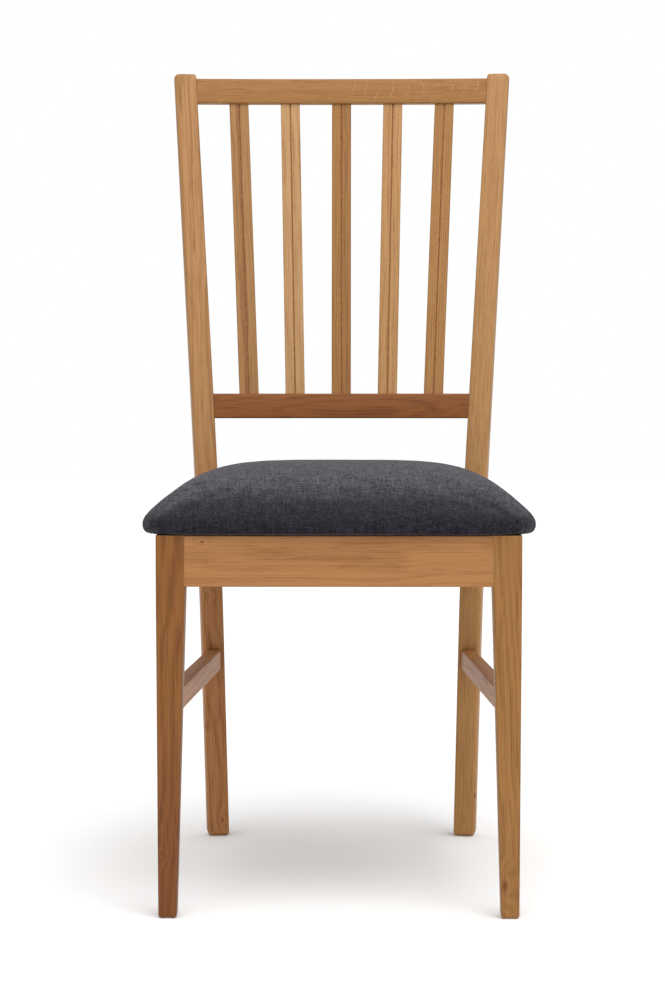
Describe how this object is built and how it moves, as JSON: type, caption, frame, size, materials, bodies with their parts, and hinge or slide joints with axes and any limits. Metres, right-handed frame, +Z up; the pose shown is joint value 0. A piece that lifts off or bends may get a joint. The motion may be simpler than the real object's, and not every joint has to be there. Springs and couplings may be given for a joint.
{
  "type": "dining chair",
  "caption": "Side chair with tapered legs, a reclined back of upright slats between bowed rails, side stretchers and a crowned upholstered seat pad.",
  "frame": {"origin": "middle of the chair's outline, on the floor", "axes": "+Z up, the sitter faces -Y, +X towards the chair's right side seen from the front"},
  "size_m": [0.4234, 0.5159, 0.96],
  "materials": {
    "oak_leg": "oiled oak, long grain",
    "oak_apron": "oiled oak, flame figure",
    "oak_seat_rail": "oiled oak",
    "oak_stretcher": "oiled oak",
    "oak_top_rail": "oiled oak with ray flecks",
    "oak_lower_rail": "oiled oak, darker board",
    "oak_slat": "oiled oak",
    "beech_block": "plain beech",
    "beech_dowel": "plain beech",
    "zinc_screw": "zinc plated",
    "staple_wire": "galvanised wire",
    "birch_plywood": "birch plywood",
    "foam": "polyurethane foam",
    "charcoal_fabric": "heathered plain weave",
    "black_nonwoven": "spunbonded cloth",
    "nylon": "moulded nylon"
  },
  "bodies": {
    "root": {"corner_block_front_left": "beech_block", "corner_block_front_right": "beech_block", "corner_block_rear_left": "beech_block", "corner_block_rear_right": "beech_block", "corner_block_screws": "zinc_screw", "cover_staples": "staple_wire", "dust_cover": "black_nonwoven", "foot_glides": "nylon", "front_leg_left": "oak_leg", "front_leg_right": "oak_leg", "front_rail": "oak_apron", "front_rail_dowels": "beech_dowel", "lower_rail": "oak_lower_rail", "rear_leg_left": "oak_leg", "rear_leg_right": "oak_leg", "rear_rail": "oak_seat_rail", "rear_rail_dowels": "beech_dowel", "seat_board": "birch_plywood", "seat_cover": "charcoal_fabric", "seat_foam": "foam", "seat_screws": "zinc_screw", "side_rail_dowels": "beech_dowel", "side_rail_left": "oak_seat_rail", "side_rail_right": "oak_seat_rail", "side_stretcher_left": "oak_stretcher", "side_stretcher_right": "oak_stretcher", "slat_1": "oak_slat", "slat_2": "oak_slat", "slat_3": "oak_slat", "slat_4": "oak_slat", "slat_5": "oak_slat", "top_rail": "oak_top_rail"}
  },
  "joints": []
}
